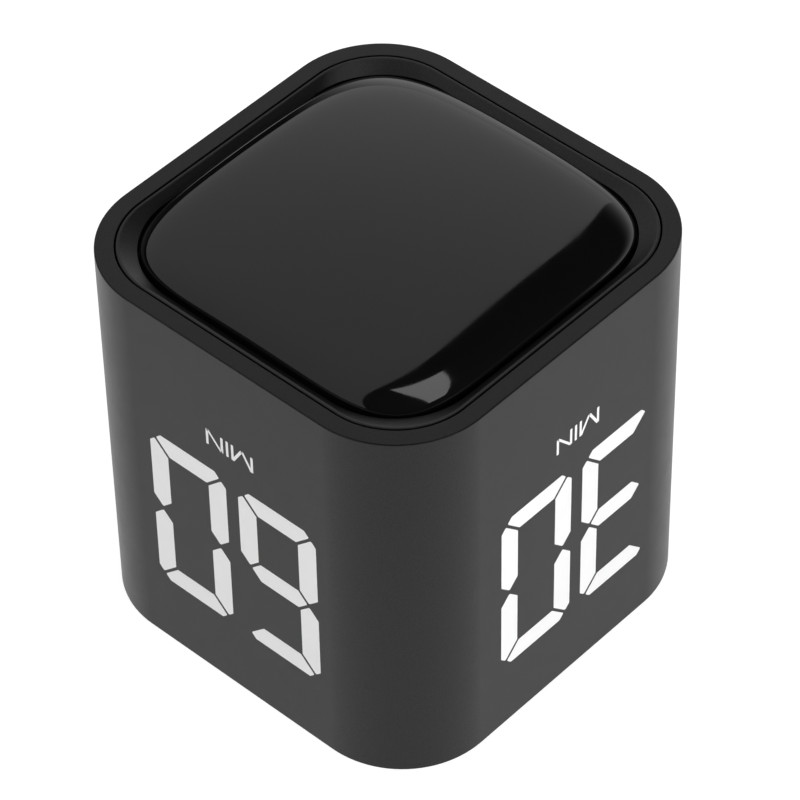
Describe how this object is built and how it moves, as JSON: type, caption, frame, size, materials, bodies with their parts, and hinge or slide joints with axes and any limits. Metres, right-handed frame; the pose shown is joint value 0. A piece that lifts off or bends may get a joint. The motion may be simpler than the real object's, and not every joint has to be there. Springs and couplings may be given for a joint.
{
  "type": "kitchen timer",
  "caption": "Rounded matte black cube timer with a domed glossy display window and large segmented minute numerals set in its four sides.",
  "frame": {"origin": "centre of the back rim, on the surface that the cube stands on when its display faces up", "axes": "+Z from the back to the display window; -X face carries the numerals 60, -Y face 30, +X face 15, +Y face 5"},
  "size_m": [0.06, 0.06, 0.0624],
  "materials": {
    "shell_black": "fine matte, soft-touch",
    "bezel_black": "fine satin",
    "lens_black": "high gloss, smoked",
    "print_white": "matte paint",
    "tape_grey": "foam",
    "module_grey": "satin",
    "segment_white": "milky",
    "board_green": "lacquered",
    "chip_black": "moulded",
    "part_tan": "fired",
    "socket_ivory": "moulded",
    "ribbon_white": "film",
    "frame_grey": "moulded",
    "cell_silver": "laminate foil",
    "lead_red": "insulation",
    "lead_black": "insulation",
    "lead_blue": "insulation",
    "steel": "bright",
    "brass": "knurled",
    "magnet_grey": "sintered",
    "copper": "wound",
    "tungsten": "sintered",
    "rubber_black": "matte",
    "knob_black": "satin",
    "cover_black": "fine spark-eroded texture",
    "plug_white": "moulded"
  },
  "bodies": {
    "cube": {"outer_shell": "shell_black", "front_bezel": "bezel_black", "lens_tape": "tape_grey", "display_lens": "lens_black", "numerals_60": "print_white", "numerals_30": "print_white", "numerals_15": "print_white", "numerals_5": "print_white", "unit_marks": "print_white", "digit_module": "module_grey", "digit_segments": "segment_white", "module_pins": "steel", "display_board": "board_green", "driver_chip": "chip_black", "ribbon_sockets": "socket_ivory", "display_ribbon": "ribbon_white", "display_screws": "steel", "inner_frame": "frame_grey", "frame_inserts": "brass", "battery_cell": "cell_silver", "battery_tape": "tape_grey", "battery_lead_red": "lead_red", "battery_lead_black": "lead_black", "battery_plug": "plug_white", "battery_socket": "socket_ivory", "motor_can": "steel", "motor_magnet": "magnet_grey", "motor_endcap": "plug_white", "motor_boot": "rubber_black", "motor_leads": "lead_blue", "main_board": "board_green", "processor_chip": "chip_black", "tilt_sensor": "chip_black", "charge_chip": "chip_black", "clock_crystal": "steel", "board_passives": "part_tan", "board_screws": "steel", "usb_shell": "steel", "usb_tongue": "chip_black", "switch_frame": "steel", "tact_bases": "chip_black", "tact_covers": "steel", "tact_domes": "steel", "buzzer_case": "chip_black", "buzzer_coil": "copper", "buzzer_magnet": "magnet_grey", "buzzer_diaphragm": "steel", "buzzer_gasket": "tape_grey", "sound_mesh": "tape_grey", "rear_cover": "cover_black", "rear_screws": "steel"},
    "button_left_body": {"button_left": "knob_black", "plunger_left": "knob_black"},
    "button_right_body": {"button_right": "knob_black", "plunger_right": "knob_black"},
    "slider_body": {"switch_lever": "plug_white", "switch_knob": "knob_black"},
    "rotor": {"motor_shaft": "steel", "motor_armature": "copper", "motor_weight": "tungsten"}
  },
  "joints": [
    {"name": "button_left_press", "type": "slide", "parent": "cube", "child": "button_left_body", "axis": [0, 0, 1], "range_m": [0, 0.0005], "stiffness_N_per_m": 2400, "springref_m": -0.0002},
    {"name": "button_right_press", "type": "slide", "parent": "cube", "child": "button_right_body", "axis": [0, 0, 1], "range_m": [0, 0.0005], "stiffness_N_per_m": 2400, "springref_m": -0.0002},
    {"name": "switch_slide", "type": "slide", "parent": "cube", "child": "slider_body", "axis": [1, 0, 0], "range_m": [-0.002, 0.002]},
    {"name": "motor_spin", "type": "hinge", "parent": "cube", "child": "rotor", "pos_m": [0.0186, 0, 0.033], "axis": [0, 1, 0], "continuous": true}
  ]
}
